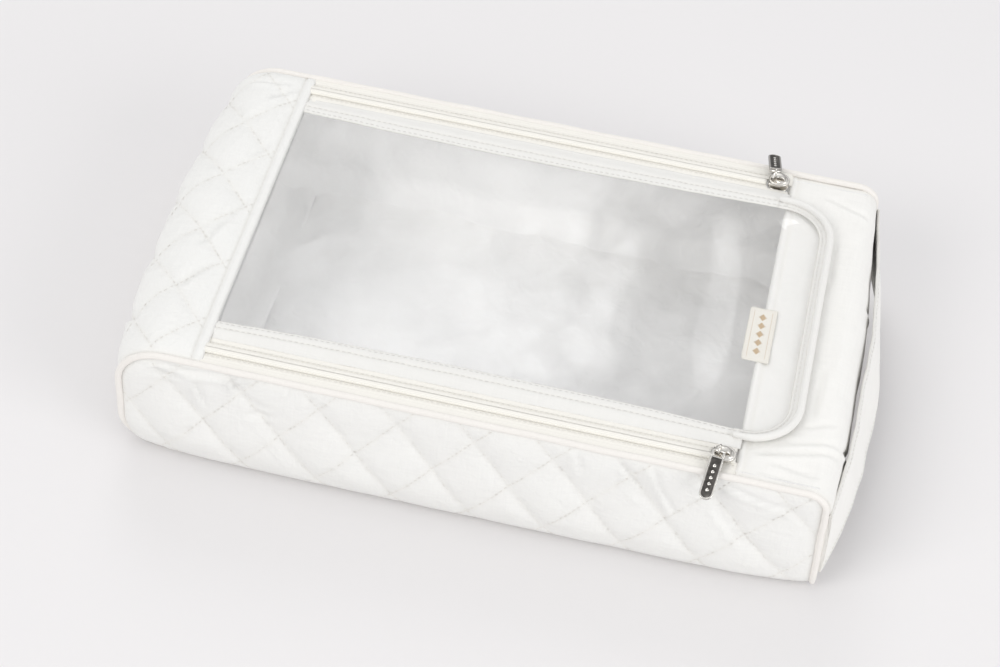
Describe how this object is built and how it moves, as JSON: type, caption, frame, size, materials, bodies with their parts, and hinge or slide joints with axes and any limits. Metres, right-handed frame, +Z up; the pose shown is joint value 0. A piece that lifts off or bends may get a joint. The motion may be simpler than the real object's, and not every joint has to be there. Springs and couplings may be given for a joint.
{
  "type": "shoe bag",
  "caption": "Flat quilted travel bag for shoes, with a clear lid that folds back between straight zips, corded edges and a carrying band across one end.",
  "frame": {"origin": "centre of the underside of the base panel, where the bag rests", "axes": "+X along the length to the end with the carrying band, +Y to the back, +Z up from the base to the clear lid"},
  "size_m": [0.3692, 0.2432, 0.084],
  "materials": {
    "quilted_cloth": "fine woven ivory cloth quilted over wadding",
    "plain_cloth": "plain ivory cloth, folded and topstitched",
    "piping_cloth": "bias strip rolled over a cord",
    "lining_cloth": "thin smooth lining",
    "zip_tape": "ribbed woven tape",
    "zip_coil": "cream nylon coil",
    "clear_film": "soft clear film",
    "label_weave": "woven label with a plain tan pattern",
    "nickel": "bright plated die casting",
    "dark_nickel": "plated tag with a dark recess"
  },
  "bodies": {
    "bag": {"base_panel": "quilted_cloth", "base_lining": "lining_cloth", "left_end_piece": "quilted_cloth", "left_end_lining": "lining_cloth", "right_end_piece": "plain_cloth", "right_end_lining": "lining_cloth", "fold_film": "clear_film", "woven_label": "label_weave", "front_side_panel": "quilted_cloth", "front_side_lining": "lining_cloth", "front_piping": "piping_cloth", "front_body_tape": "zip_tape", "front_body_coil": "zip_coil", "front_fold_tape": "zip_tape", "front_fold_coil": "zip_coil", "front_fold_border": "plain_cloth", "front_band_tab": "plain_cloth", "back_side_panel": "quilted_cloth", "back_side_lining": "lining_cloth", "back_piping": "piping_cloth", "back_body_tape": "zip_tape", "back_body_coil": "zip_coil", "back_fold_tape": "zip_tape", "back_fold_coil": "zip_coil", "back_fold_border": "plain_cloth", "back_band_tab": "plain_cloth"},
    "lid": {"window_film": "clear_film", "lid_end_piping": "plain_cloth", "front_lid_tape": "zip_tape", "front_lid_coil": "zip_coil", "front_lid_border": "plain_cloth", "back_lid_tape": "zip_tape", "back_lid_coil": "zip_coil", "back_lid_border": "plain_cloth"},
    "carry_band": {"carry_band": "plain_cloth"},
    "front_slider": {"front_slider_body": "nickel", "front_slider_crown": "nickel"},
    "front_ring": {"front_link_ring": "nickel"},
    "front_pull": {"front_pull_tag": "dark_nickel"},
    "back_slider": {"back_slider_body": "nickel", "back_slider_crown": "nickel"},
    "back_ring": {"back_link_ring": "nickel"},
    "back_pull": {"back_pull_tag": "dark_nickel"}
  },
  "joints": [
    {"name": "lid_fold", "type": "hinge", "parent": "bag", "child": "lid", "pos_m": [-0.119, 0, 0.0768], "axis": [0, -1, 0], "range_deg": [0, 115]},
    {"name": "carry_band_pull", "type": "slide", "parent": "bag", "child": "carry_band", "axis": [1, 0, 0], "range_m": [0, 0.014]},
    {"name": "front_zip_slide", "type": "slide", "parent": "bag", "child": "front_slider", "axis": [-1, 0, 0], "range_m": [0, 0.25]},
    {"name": "front_ring_swing", "type": "hinge", "parent": "front_slider", "child": "front_ring", "pos_m": [0.1214, -0.0965, 0.0813], "axis": [-1, 0, 0], "range_deg": [0, 60]},
    {"name": "front_pull_swing", "type": "hinge", "parent": "front_ring", "child": "front_pull", "pos_m": [0.12118, -0.09859, 0.0813], "axis": [-0.9945, 0.1045, 0], "range_deg": [0, 50]},
    {"name": "back_zip_slide", "type": "slide", "parent": "bag", "child": "back_slider", "axis": [-1, 0, 0], "range_m": [0, 0.25]},
    {"name": "back_ring_swing", "type": "hinge", "parent": "back_slider", "child": "back_ring", "pos_m": [0.1214, 0.0965, 0.0813], "axis": [1, 0, 0], "range_deg": [0, 60]},
    {"name": "back_pull_swing", "type": "hinge", "parent": "back_ring", "child": "back_pull", "pos_m": [0.12118, 0.09859, 0.0813], "axis": [0.9945, 0.1045, 0], "range_deg": [0, 50]}
  ]
}
